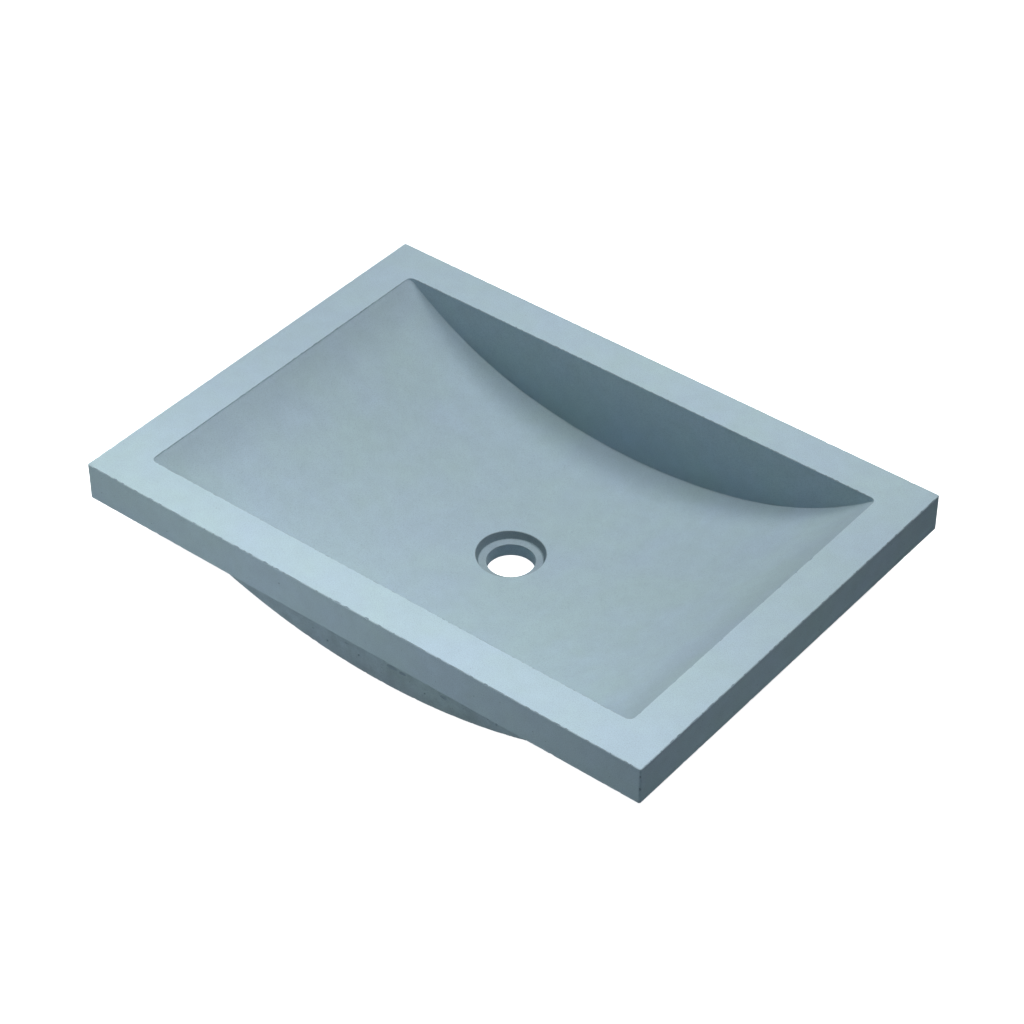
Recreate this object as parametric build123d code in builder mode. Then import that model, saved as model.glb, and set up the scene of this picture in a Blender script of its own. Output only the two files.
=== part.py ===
"""Undermount basin in cast concrete, with its reinforcement and its hanger straps.

All sizes are in millimetres. +X runs along the basin, +Y to its back and +Z up. The origin is in
the middle of the flat underside of the drain boss, which is the lowest face of the basin.
"""

from build123d import *
from math import isclose, sqrt
import os

# Rim: a flat rectangular band round the trough
basin_length = 610.0
basin_width = 434.0
rim_band = 40.0
rim_thickness = 38.0
rim_corner_radius = 2.0
rim_edge_radius = 1.0

# Trough: its floor is one long curve that rises to the rim at both short ends
trough_depth = 86.4
opening_corner_radius = 5.5
opening_edge_radius = 0.5
floor_middle_share = 0.45
floor_end_step = 1.0
floor_fillet_radius = 0.8
wall_draft_deg = 0.5

# Shell: the outside of the trough, whose underside is one long arc between two flat end flanges
shell_thickness = 14.2
shell_wall = 11.4
end_flange_width = 52.4
underside_edge_radius = 1.5
shell_root_radius = 3.0

# Drain: a tapered recess, a ledge, a bore, and a flat boss under them
recess_mouth_radius = 31.6
recess_edge_radius = 0.8
ledge_radius = 29.5
ledge_drop = 7.4
ledge_fillet_radius = 1.5
bore_radius = 22.2
bore_edge_radius = 0.6
boss_radius = 47.0
boss_drop = 6.4
boss_edge_radius = 1.5

# Bolts of the hanger fixings, and the thread in their inserts
bolt_radius = 3.0
bolt_length = 20.0
bolt_head_shoulder = 2.0
bolt_head_height = 4.0
bolt_head_edge = 0.4
bolt_tip_chamfer = 0.6
thread_clearance = 0.05

# Threaded inserts, cast into the underside of the rim
insert_wall = 2.0
insert_length = 18.0
insert_anchor_step = 1.5
insert_anchor_thickness = 2.0
insert_end_wall = 2.0
insert_groove_depth = 0.8
insert_groove_width = 3.0

# Flanged bushes that the straps swing on
bush_bolt_clearance = 0.2
bush_sleeve_wall = 1.3
bush_flange_width = 3.5
bush_flange_thickness = 1.0

# Hanger straps, each with a pivot hole and a slot for a stud that stands beside the rim
strap_thickness = 2.5
strap_running_clearance = 0.05
strap_end_play = 0.1
strap_side_land = 4.45
strap_end_land = 6.0
strap_edge = 0.3
stud_offset = 16.5
slot_length = 14.0
slot_width = 6.6

# Washers under the bolt heads
washer_width = 5.8
washer_thickness = 1.2
washer_edge = 0.2

# Where the fixings stand, as shares of half the length and half the width of the rim
long_side_fixing_share = 0.5
short_side_fixing_share = 0.5

# Rim reinforcement: one steel rod bent to a rectangle, with its two ends apart at the back
rim_rod_radius = 3.0
rim_rod_insert_clearance = 2.0
rim_rod_bend_radius = 24.0
rim_rod_gap = 12.0

# Wire mat in the shell: long wires that follow the curve, welded on to straight cross wires
mat_wire_radius = 1.5
mat_bottom_cover = 4.0
mat_weld_depth = 0.4
mat_drain_clearance = 16.5
mat_side_inset = 27.0
mat_end_inset = 65.0
mat_wire_overhang = 10.0
mat_long_wires_per_side = 3
mat_cross_wires_per_side = 4

# A cut runs this far past the face that it opens, and a boss this far into what carries it
overrun = 1.0

# Levels
underside_z = boss_drop
floor_z = underside_z + shell_thickness
ledge_z = floor_z - ledge_drop
rim_top_z = floor_z + trough_depth
rim_underside_z = rim_top_z - rim_thickness
floor_end_z = rim_top_z - floor_end_step

# The opening, and the arc of the underside, which the middle of the floor follows at one thickness
opening_length = basin_length - 2 * rim_band
opening_width = basin_width - 2 * rim_band
shell_half_width = opening_width / 2 + shell_wall
shell_reach = basin_length / 2 - end_flange_width
shell_drop = rim_underside_z - underside_z
underside_radius = (shell_reach**2 + shell_drop**2) / (2 * shell_drop)
arc_centre_z = underside_z + underside_radius
floor_middle_radius = underside_radius - shell_thickness
floor_middle_reach = floor_middle_share * opening_length / 2

# Radii of the stacked fixing pieces
insert_bore_radius = bolt_radius + thread_clearance
insert_radius = insert_bore_radius + insert_wall
insert_anchor_radius = insert_radius + insert_anchor_step
bush_bore_radius = bolt_radius + bush_bolt_clearance
bush_sleeve_radius = bush_bore_radius + bush_sleeve_wall
strap_hole_radius = bush_sleeve_radius + strap_running_clearance
strap_width = 2 * (strap_hole_radius + strap_side_land)

# Depths below the underside of the rim at which the stacked fixing pieces meet
strap_top_depth = bush_flange_thickness + strap_end_play
washer_top_depth = strap_top_depth + strap_thickness + strap_end_play
head_top_depth = washer_top_depth + washer_thickness

# The bolts stand on the middle line of the ledge that the rim leaves beside the shell
fixing_inset = (rim_band - shell_wall) / 2
slot_reach = fixing_inset + stud_offset
strap_end_reach = slot_reach + slot_length / 2 + strap_end_land - strap_width / 2


def arc_z(radius, x):
    """Height at x of a lower arc about the axis that the underside and the floor share."""
    return arc_centre_z - sqrt(radius**2 - x**2)


def spread(first, last, count):
    """Return count places, evenly spaced from first to last."""
    return [first + (last - first) * index / (count - 1) for index in range(count)]


def report(piece):
    """Print a piece's name, its solids and its volume."""
    print(f"{piece.label}: {len(piece.solids())} solid, {piece.volume:.0f} mm3")


os.makedirs("parts", exist_ok=True)

# Seats of the hanger fixings: each plane lies on the underside of the rim at a bolt's axis, and
# its own X direction is the way that the stowed strap points, towards the middle of its side
long_side_x = long_side_fixing_share * basin_length / 2
long_side_y = basin_width / 2 - fixing_inset
short_side_x = basin_length / 2 - fixing_inset
short_side_y = short_side_fixing_share * basin_width / 2
seats = {
    "front_left": (-long_side_x, -long_side_y, (1, 0, 0)),
    "front_right": (long_side_x, -long_side_y, (-1, 0, 0)),
    "back_left": (-long_side_x, long_side_y, (1, 0, 0)),
    "back_right": (long_side_x, long_side_y, (-1, 0, 0)),
    "left_front": (-short_side_x, -short_side_y, (0, 1, 0)),
    "left_back": (-short_side_x, short_side_y, (0, -1, 0)),
    "right_front": (short_side_x, -short_side_y, (0, 1, 0)),
    "right_back": (short_side_x, short_side_y, (0, -1, 0)),
}

insert_blanks = []
for place, (seat_x, seat_y, stowed_way) in seats.items():
    seat = Plane(origin=(seat_x, seat_y, rim_underside_z), x_dir=stowed_way, z_dir=(0, 0, 1))

    # Insert: a turned brass barrel, flush with the concrete, with a groove and an anchor flange
    with BuildPart() as insert_blank:
        with BuildSketch(seat):
            Circle(insert_radius)
        extrude(amount=insert_length)
        with BuildSketch(seat.offset(insert_length - insert_anchor_thickness)):
            Circle(insert_anchor_radius)
        extrude(amount=insert_anchor_thickness)
        with BuildSketch(seat.offset((insert_length - insert_groove_width) / 2)):
            Circle(insert_radius)
            Circle(insert_radius - insert_groove_depth, mode=Mode.SUBTRACT)
        extrude(amount=insert_groove_width, mode=Mode.SUBTRACT)
    insert_blanks.append(insert_blank.part)

    # The same barrel with its blind threaded hole
    with BuildPart() as insert:
        add(insert_blank.part)
        with BuildSketch(seat):
            Circle(insert_bore_radius)
        extrude(amount=insert_length - insert_end_wall, mode=Mode.SUBTRACT)
    insert.part.label = f"insert_{place}"
    export_step(insert.part, f"parts/insert_{place}.step")
    report(insert.part)

    # Bush: its flange keeps the strap off the concrete, and the strap swings on its sleeve
    with BuildPart() as bush:
        with BuildSketch(seat):
            Circle(bush_sleeve_radius + bush_flange_width)
        extrude(amount=-bush_flange_thickness)
        with BuildSketch(seat):
            Circle(bush_sleeve_radius)
        extrude(amount=-washer_top_depth)
        with BuildSketch(seat):
            Circle(bush_bore_radius)
        extrude(amount=-washer_top_depth, mode=Mode.SUBTRACT)
    bush.part.label = f"bush_{place}"
    export_step(bush.part, f"parts/bush_{place}.step")
    report(bush.part)

    # Strap: a flat bar with round ends
    with BuildPart() as strap:
        with BuildSketch(seat.offset(-strap_top_depth)):
            with Locations((strap_end_reach / 2, 0)):
                SlotCenterToCenter(strap_end_reach, strap_width)
            Circle(strap_hole_radius, mode=Mode.SUBTRACT)
            with Locations((slot_reach, 0)):
                SlotOverall(slot_length, slot_width, mode=Mode.SUBTRACT)
        extrude(amount=-strap_thickness)
        chamfer(strap.edges().group_by(Axis.Z)[0] + strap.edges().group_by(Axis.Z)[-1], strap_edge)
    strap.part.label = f"strap_{place}"
    export_step(strap.part, f"parts/strap_{place}.step")
    report(strap.part)

    # Washer
    with BuildPart() as washer:
        with BuildSketch(seat.offset(-washer_top_depth)):
            Circle(bush_bore_radius + washer_width)
            Circle(bush_bore_radius, mode=Mode.SUBTRACT)
        extrude(amount=-washer_thickness)
        chamfer(washer.edges().group_by(SortBy.LENGTH)[-1], washer_edge)
    washer.part.label = f"washer_{place}"
    export_step(washer.part, f"parts/washer_{place}.step")
    report(washer.part)

    # Bolt: its shank runs up through the washer and the bush into the insert
    with BuildPart() as bolt:
        with BuildSketch(seat.offset(-head_top_depth)):
            RegularPolygon(bolt_radius + bolt_head_shoulder, 6, major_radius=False)
        extrude(amount=-bolt_head_height)
        chamfer(bolt.faces().sort_by(Axis.Z)[0].edges(), bolt_head_edge)
        with BuildSketch(seat.offset(-head_top_depth)):
            Circle(bolt_radius)
        extrude(amount=bolt_length)
        chamfer(bolt.faces().sort_by(Axis.Z)[-1].edges(), bolt_tip_chamfer)
    bolt.part.label = f"bolt_{place}"
    export_step(bolt.part, f"parts/bolt_{place}.step")
    report(bolt.part)

# Rim reinforcing ring: it runs at half the rim's thickness, inside the row of inserts
rod_inset = fixing_inset + insert_anchor_radius + rim_rod_insert_clearance + rim_rod_radius
rod_x = basin_length / 2 - rod_inset
rod_y = basin_width / 2 - rod_inset
rod_z = rim_top_z - rim_thickness / 2
with BuildPart() as rim_reinforcing_ring:
    with BuildLine() as rod_line:
        FilletPolyline(
            (rim_rod_gap / 2, rod_y, rod_z),
            (rod_x, rod_y, rod_z),
            (rod_x, -rod_y, rod_z),
            (-rod_x, -rod_y, rod_z),
            (-rod_x, rod_y, rod_z),
            (-rim_rod_gap / 2, rod_y, rod_z),
            radius=rim_rod_bend_radius,
        )
    with BuildSketch(Plane(origin=rod_line.line @ 0, z_dir=rod_line.line % 0)):
        Circle(rim_rod_radius)
    sweep()
rim_reinforcing_ring.part.label = "rim_reinforcing_ring"
export_step(rim_reinforcing_ring.part, "parts/rim_reinforcing_ring.step")
report(rim_reinforcing_ring.part)

# Trough wire mat: it follows the arc of the underside and leaves its middle mesh to the drain
cross_wire_arc = underside_radius - mat_bottom_cover - mat_wire_radius
long_wire_arc = cross_wire_arc - 2 * mat_wire_radius + mat_weld_depth
first_wire = recess_mouth_radius + mat_drain_clearance + mat_wire_radius
last_long_wire = opening_width / 2 - mat_side_inset
last_cross_wire = opening_length / 2 - mat_end_inset
mat_half_length = last_cross_wire + mat_wire_overhang
mat_half_width = last_long_wire + mat_wire_overhang
with BuildPart() as trough_wire_mat:
    for side in (-1, 1):
        for wire_y in spread(first_wire, last_long_wire, mat_long_wires_per_side):
            with BuildLine(Plane.XZ.offset(side * wire_y)) as wire_line:
                ThreePointArc(
                    (-mat_half_length, arc_z(long_wire_arc, mat_half_length)),
                    (0, arc_z(long_wire_arc, 0)),
                    (mat_half_length, arc_z(long_wire_arc, mat_half_length)),
                )
            with BuildSketch(Plane(origin=wire_line.line @ 0, z_dir=wire_line.line % 0)):
                Circle(mat_wire_radius)
            sweep()
        for wire_x in spread(first_wire, last_cross_wire, mat_cross_wires_per_side):
            with BuildSketch(Plane.XZ):
                with Locations((side * wire_x, arc_z(cross_wire_arc, wire_x))):
                    Circle(mat_wire_radius)
            extrude(amount=mat_half_width, both=True)
trough_wire_mat.part.label = "trough_wire_mat"
export_step(trough_wire_mat.part, "parts/trough_wire_mat.step")
report(trough_wire_mat.part)

# Mould core of the trough: a drafted block whose underside is the curve of the floor
with BuildPart() as trough_core:
    with BuildSketch(Plane.XY.offset(rim_top_z)):
        RectangleRounded(opening_length, opening_width, opening_corner_radius)
    extrude(amount=-(trough_depth + overrun), taper=wall_draft_deg)
    with BuildSketch(Plane.XZ):
        with BuildLine():
            middle = ThreePointArc(
                (-floor_middle_reach, arc_z(floor_middle_radius, floor_middle_reach)),
                (0, floor_z),
                (floor_middle_reach, arc_z(floor_middle_radius, floor_middle_reach)),
            )
            right = TangentArc(middle @ 1, (opening_length / 2, floor_end_z), tangent=middle % 1)
            mirror(right, about=Plane.YZ)
            Polyline(
                (opening_length / 2, floor_end_z),
                (opening_length / 2, rim_top_z + overrun),
                (-opening_length / 2, rim_top_z + overrun),
                (-opening_length / 2, floor_end_z),
            )
        make_face()
    extrude(amount=opening_width / 2 + overrun, both=True, mode=Mode.INTERSECT)
    floor_edges = trough_core.faces().filter_by(GeomType.CYLINDER).edges()
    floor_seams = trough_core.edges().filter_by(Axis.Y).group_by(Axis.Z)[0]
    fillet(floor_edges - floor_seams, floor_fillet_radius)

# Shell of the trough: it runs up into the rim, and its two long lower edges are rounded
shell_top_z = rim_underside_z + overrun
shell_top_reach = sqrt(underside_radius**2 - (arc_centre_z - shell_top_z) ** 2)
with BuildPart() as trough_shell:
    with BuildSketch(Plane.XZ):
        with BuildLine():
            ThreePointArc((-shell_top_reach, shell_top_z), (0, underside_z), (shell_top_reach, shell_top_z))
            Line((shell_top_reach, shell_top_z), (-shell_top_reach, shell_top_z))
        make_face()
    extrude(amount=shell_half_width, both=True)
    fillet(trough_shell.edges().filter_by(GeomType.CIRCLE), underside_edge_radius)

# Basin casting: rim, shell and drain boss in one
recess_spread = (recess_mouth_radius - ledge_radius) / ledge_drop
recess_top_z = floor_z + 2 * overrun
with BuildPart() as basin_casting:
    with BuildSketch(Plane.XY.offset(rim_underside_z)):
        RectangleRounded(basin_length, basin_width, rim_corner_radius)
    extrude(amount=rim_thickness)
    rim_edges = basin_casting.edges().group_by(Axis.Z)
    fillet(rim_edges[0] + rim_edges[-1], rim_edge_radius)
    add(trough_shell.part)

    # The root of the shell is rounded where it leaves the flat underside of the rim
    root_edges = basin_casting.edges().filter_by_position(
        Axis.Z, rim_underside_z, rim_underside_z
    ).filter_by_position(Axis.Y, -shell_half_width, shell_half_width)
    fillet(root_edges, shell_root_radius)
    with BuildSketch():
        Circle(boss_radius)
    extrude(amount=underside_z + shell_thickness / 2)
    fillet(basin_casting.edges().group_by(Axis.Z)[0], boss_edge_radius)

    # The trough, its rounded mouth, and the drain's recess and bore
    add(trough_core.part, mode=Mode.SUBTRACT)
    mouth_edges = basin_casting.edges().filter_by_position(
        Axis.Z, rim_top_z, rim_top_z
    ).filter_by_position(Axis.X, -opening_length / 2, opening_length / 2)
    fillet(mouth_edges, opening_edge_radius)
    with BuildSketch(Plane.XZ):
        Polygon(
            (0, ledge_z),
            (ledge_radius, ledge_z),
            (ledge_radius + recess_spread * (recess_top_z - ledge_z), recess_top_z),
            (0, recess_top_z),
            align=None,
        )
    revolve(axis=Axis.Z, mode=Mode.SUBTRACT)
    recess_wall = basin_casting.faces().filter_by(GeomType.CONE).sort_by(SortBy.AREA)[-1]
    fillet(recess_wall.edges().sort_by(Axis.Z)[0], ledge_fillet_radius)
    recess_wall = basin_casting.faces().filter_by(GeomType.CONE).sort_by(SortBy.AREA)[-1]
    fillet(recess_wall.edges().sort_by(Axis.Z)[-1], recess_edge_radius)
    with BuildSketch():
        Circle(bore_radius)
    extrude(amount=floor_z, mode=Mode.SUBTRACT)
    bore_edges = basin_casting.edges().filter_by(GeomType.CIRCLE).filter_by(
        lambda edge: isclose(edge.radius, bore_radius)
    )
    fillet(bore_edges, bore_edge_radius)

    # Concrete leaves exactly the room of what is cast into it
    add(insert_blanks, mode=Mode.SUBTRACT)
    add(rim_reinforcing_ring.part, mode=Mode.SUBTRACT)
    add(trough_wire_mat.part, mode=Mode.SUBTRACT)
basin_casting.part.label = "basin_casting"
export_step(basin_casting.part, "parts/basin_casting.step")
report(basin_casting.part)
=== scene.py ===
"""Finishes, knocked edges, studio and camera of a cast concrete undermount basin."""

import math
import random

import bpy
from bpy.props import FloatProperty, FloatVectorProperty, IntProperty, PointerProperty
from mathutils import Matrix, Vector


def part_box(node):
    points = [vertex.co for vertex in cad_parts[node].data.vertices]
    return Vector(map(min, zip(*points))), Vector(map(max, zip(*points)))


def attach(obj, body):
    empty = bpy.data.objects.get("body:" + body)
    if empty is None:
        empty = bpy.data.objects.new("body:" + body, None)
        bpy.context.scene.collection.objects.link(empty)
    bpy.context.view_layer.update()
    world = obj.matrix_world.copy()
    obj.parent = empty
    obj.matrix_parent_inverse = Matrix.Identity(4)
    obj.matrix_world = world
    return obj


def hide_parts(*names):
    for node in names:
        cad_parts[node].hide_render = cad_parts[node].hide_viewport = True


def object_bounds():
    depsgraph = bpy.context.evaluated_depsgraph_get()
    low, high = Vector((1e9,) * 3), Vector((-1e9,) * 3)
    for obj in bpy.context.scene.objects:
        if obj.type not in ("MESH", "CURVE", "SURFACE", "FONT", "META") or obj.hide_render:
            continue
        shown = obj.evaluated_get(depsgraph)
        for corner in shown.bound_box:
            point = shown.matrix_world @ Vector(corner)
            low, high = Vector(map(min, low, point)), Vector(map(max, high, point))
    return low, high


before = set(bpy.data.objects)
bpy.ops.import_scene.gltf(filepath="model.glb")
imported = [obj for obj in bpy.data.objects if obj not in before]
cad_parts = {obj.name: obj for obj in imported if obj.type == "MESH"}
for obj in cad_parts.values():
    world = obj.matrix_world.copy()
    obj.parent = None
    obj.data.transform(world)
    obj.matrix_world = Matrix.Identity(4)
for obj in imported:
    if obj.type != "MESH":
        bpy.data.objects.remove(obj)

bl_info = {
    "name": "Concrete Basin Finisher",
    "version": (1, 0, 0),
    "blender": (4, 5, 0),
    "location": "3D View > Sidebar > Basin",
    "description": "Dresses a cast concrete undermount basin and its hanger straps",
    "category": "Object",
}

MM = 0.001
# A face this close to a level lies in it, and corners this close together are one.
NEAR = 0.01 * MM
SEAM = 0.001 * MM
CASTING_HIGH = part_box("basin_casting")[1]
CAD_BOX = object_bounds()
RIM_BAND = 40.0 * MM
# Half the length and half the width of the trough's mouth.
OPENING = CASTING_HIGH.xy - Vector((RIM_BAND, RIM_BAND))
PLACES = (
    "front_left", "front_right", "back_left", "back_right",
    "left_front", "left_back", "right_front", "right_back",
)
# Each area of the casting: its lightness, how uneven it is, and its tone along the trough's walls,
# which is a painted shade.
# - the rim's top: painted palest, a painted light for the stronger light on the open top
# - smooth: the trough, cast against a polished mould and sealed; darker along its walls, a painted
#   shade for the light that the walls keep off it
# - side: the rim's outer faces, cast against plain boards
# - rough: the outside of the shell, as it left the mould, blotched
# - the drain recess's wall and ledge: cast against an oiled rubber plug; dark, a painted shade in
#   the recess, darkest on its wall
FINISHES_AND_PAINTED_LIGHT = {
    "rim_top_painted_light": (1.17, 0.03, 1.0),
    "smooth_concrete": (1.0, 0.035, 0.86),
    "side_concrete": (1.0, 0.04, 1.0),
    "rough_concrete": (0.88, 0.13, 1.0),
    "recess_wall_painted_shade": (0.5, 0.06, 1.0),
    "recess_ledge_painted_shade": (0.74, 0.06, 1.0),
}
# Shallow dents in the front of the shell: distance along it, height, half length and depth in mm.
DENTS = (
    (-10, 38.5, 5.0, 0.35), (2, 36.0, 6.0, 0.5), (14, 35.0, 4.0, 0.4), (21, 31.5, 6.5, 0.55),
    (33, 31.0, 5.0, 0.45), (-58, 37.0, 4.0, 0.3), (78, 30.0, 4.5, 0.3), (-30, 30.0, 3.0, 0.3),
)
DENT_WIDTH_SHARE = 0.4
# The rough stones that cut the knocks, blow holes and dents: how many kinds there are, how far
# their points stray from a ball, and how far a copy may be rolled, nearly a full turn.
STONE_KINDS = 6
STONE_ROUGHNESS = 0.16
STONE_ROLL = 6.28
# A stone in a face is this many times as high as its pocket is deep, and this share of its full
# width where it leaves the face. Blow holes are out of round by up to the last pair of shares.
POCKET_STONE_HEIGHT = 1.6
POCKET_MOUTH_SHARE = 0.93
HOLE_ROUNDNESS = (0.7, 1.0)
# Ranges of a knock: from the edge's end to the first one and from one to the next, in shares of
# the spacing; its length and depth, in shares of the mean ones; the height of its stone in shares
# of its depth, and the width of its stone in shares of how far it is sunk.
KNOCK = {
    "first": (0.2, 0.9), "next": (0.25, 1.75), "length": (0.35, 1.7), "depth": (0.4, 1.2),
    "stone_height": (2.0, 3.2), "stone_width": (0.8, 1.5),
}
DEEPEST_KNOCK = 1.6
KNOCK_END_SHARE = 0.3
KNOCK_MOUTH_SHARE = 0.8
LEAST_STONE_WIDTH = 0.5 * MM
# Now and then a knock is a long shallow scrape: how often, and its half length and depth in mm.
SCRAPE_CHANCE = 0.16
SCRAPE = {"half_length": (4.5, 10.0), "depth": (0.12, 0.3)}
# How much of the wear each kind of edge takes, with the rim's outer edges and the shell at 1.
LONG_OPENING_WEAR = 2.0
SHORT_OPENING_WEAR = 0.6
UPRIGHT_WEAR = 0.6
# The knocks on the long edges of the opening are worn into the rim more than into the wall.
LONG_OPENING_LEAN = 0.4
# Knocks keep this far from the ends of the rim's edges, of the opening's and of the upright ones.
RIM_END = 6.0 * MM
OPENING_END = 9.0 * MM
UPRIGHT_END = 4.0 * MM
# The shell's lower edge is followed over this share of its reach, in chords on each side.
SHELL_EDGE_SHARE = 0.93
SHELL_EDGE_CHORDS = 12
# Blow holes on one side of the rim, on one side of the shell and in the rim's top: their number,
# their least, greatest and, where it is given, commonest radius in mm, and their depth in radii.
RIM_HOLES = {"count": 26, "radii": (0.25, 0.9, 0.35), "depth": 0.6, "end_depth": 0.5}
SHELL_HOLES = {"count": 44, "radii": (0.3, 1.6, 0.45), "depth": 0.55}
TOP_HOLES = {"count": 14, "radii": (0.2, 0.4), "depth": 0.6}
# Where they lie: shares of the half length or width, margins in height, and shares of the band.
RIM_HOLE_SHARE = 0.97
RIM_HOLE_MARGIN = 5.0 * MM
SHELL_HOLE_SHARE = 0.75
SHELL_HOLE_MARGINS = (6.0 * MM, 7.0 * MM)
TOP_HOLE_SHARE = 0.96
TOP_HOLE_BAND_SHARES = (0.15, 0.85)
# Faces of the casting that meet at less than this angle are shaded as one.
SMOOTH_ANGLE = math.radians(40)
# The bands of a wave texture lie this far apart at a scale of 1.
WAVE_LENGTH = math.tau / 20
# A face whose normal points up by more than this belongs to the trough, and one that points up
# by more than the second to the ledge of the drain and not to its wall.
FLOOR_SLOPE = 0.001
LEDGE_SLOPE = 0.7

# The width of the camera's sensor in mm, and the side of the floor in metres.
SENSOR_WIDTH = 36.0
FLOOR_SIZE = 16.0
# The floor lies this far below the basin, so that no face of the basin shares its plane.
FLOOR_DROP = 0.2 * MM
# Each lamp's place and aim are in metres from the middle of the rim's top, its spread in degrees.
LAMPS = {
    "overhead_strip": {
        "place": (0, 0.18, 1.0), "aim": (0, 0.18, 0), "size": (1.6, 0.1),
        "spread": 90, "power": 1.9},
    "high_softbox": {
        "place": (0, 0.5, 0.9), "aim": (0, 0, 0), "size": (0.4, 0.4),
        "spread": 180, "power": 2.75},
    "front_grid": {
        "place": (0, -0.3, 0.6), "aim": (0, -0.3, 0), "size": (1.2, 0.1),
        "spread": 76, "power": 0.9},
    "front_strip": {
        "place": (-0.16, -0.77, 0.06), "aim": (-0.16, 0, -0.03), "size": (0.4, 0.1),
        "spread": 180, "power": 0.93},
    "right_strip": {
        "place": (0.58, 0, -0.03), "aim": (0, 0, -0.03), "size": (0.12, 0.06),
        "spread": 180, "power": 0.03},
    "back_strip": {
        "place": (0, 0.9, -0.09), "aim": (0, 0, -0.03), "size": (0.5, 0.08),
        "spread": 180, "power": 0.6},
    "left_strip": {
        "place": (-0.95, 0, -0.09), "aim": (0, 0, -0.03), "size": (0.4, 0.08),
        "spread": 180, "power": 0.4},
}


def linear(hex_colour):
    """Turn an sRGB hex value such as B4CBD7 into linear red, green and blue."""
    channels = [int(hex_colour[start:start + 2], 16) / 255 for start in (0, 2, 4)]
    return tuple(c / 12.92 if c <= 0.04045 else ((c + 0.055) / 1.055) ** 2.4 for c in channels)


class BasinShape(bpy.types.PropertyGroup):
    """Where the edges and faces of the casting lie, for the knocks and the blow holes"""

    rim_thickness: FloatProperty(
        name="Rim thickness", description="Height of the rim's outer faces",
        default=38.0 * MM, unit="LENGTH")
    rim_edge: FloatProperty(
        name="Rim edge radius", description="Rounding of the rim's outer edges",
        default=1.0 * MM, unit="LENGTH")
    rim_corner: FloatProperty(
        name="Rim corner radius", description="Rounding of the rim's upright corners",
        default=2.0 * MM, unit="LENGTH")
    opening_edge: FloatProperty(
        name="Opening edge radius", description="Rounding of the edge round the trough",
        default=0.5 * MM, unit="LENGTH")
    shell_wall: FloatProperty(
        name="Shell wall", description="Thickness of the trough's long walls",
        default=11.4 * MM, unit="LENGTH")
    shell_reach: FloatProperty(
        name="Shell reach", description="Half the length of the shell where it meets the rim",
        default=252.6 * MM, unit="LENGTH")
    shell_low: FloatProperty(
        name="Shell underside", description="Height of the lowest line of the shell",
        default=6.4 * MM, unit="LENGTH")
    shell_edge: FloatProperty(
        name="Shell edge radius", description="Rounding of the shell's long lower edges",
        default=1.5 * MM, unit="LENGTH")
    recess_reach: FloatProperty(
        name="Recess reach", description="Radius within which the drain recess lies",
        default=32.4 * MM, unit="LENGTH")
    bore_reach: FloatProperty(
        name="Bore reach", description="Radius within which the drain bore lies",
        default=23.0 * MM, unit="LENGTH")


class BasinKnocks(bpy.types.PropertyGroup):
    """How worn the edges of the casting are"""

    spacing: FloatProperty(
        name="Spacing", description="Mean distance between two knocks along an edge",
        default=11.0 * MM, unit="LENGTH")
    length: FloatProperty(
        name="Length", description="Mean length of a knock", default=4.5 * MM, unit="LENGTH")
    depth: FloatProperty(
        name="Depth", description="Mean depth of a knock", default=0.42 * MM, unit="LENGTH")
    seed: IntProperty(name="Seed", description="Start of the random draws", default=7)


class BasinConcrete(bpy.types.PropertyGroup):
    """Colours and grain of the concrete"""

    paste: FloatVectorProperty(
        name="Cement paste", description="Main colour of the concrete",
        subtype="COLOR", size=3, default=linear("B6CCDA"))
    bloom: FloatVectorProperty(
        name="Bloom", description="Greener clouds in the paste",
        subtype="COLOR", size=3, default=linear("B6CED4"))
    sand: FloatVectorProperty(
        name="Sand", description="Darker grains in the paste",
        subtype="COLOR", size=3, default=linear("9DB3C0"))
    broken: FloatVectorProperty(
        name="Broken paste", description="Raw colour inside a knock or a blow hole",
        subtype="COLOR", size=3, default=linear("8195A1"))
    grain: FloatProperty(
        name="Grain", description="Width of a grain of sand", default=0.9 * MM, unit="LENGTH")
    # The darker tone along the trough's walls is a painted shade.
    wall_reach: FloatProperty(
        name="Wall reach", description="How far the darker tone runs in from the trough's walls",
        default=45.0 * MM, unit="LENGTH")
    mottle: FloatProperty(
        name="Mottle", description="Width of a darker patch in the paste",
        default=16.0 * MM, unit="LENGTH")
    cloud: FloatProperty(
        name="Cloud", description="Width of a cloud in the paste", default=70.0 * MM, unit="LENGTH")
    relief: FloatProperty(
        name="Relief", description="Height of the sand under the sealed skin",
        default=0.03 * MM, unit="LENGTH")
    broken_relief: FloatProperty(
        name="Broken relief", description="Height of the bare sand in a knock or a blow hole",
        default=0.12 * MM, unit="LENGTH")


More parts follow.
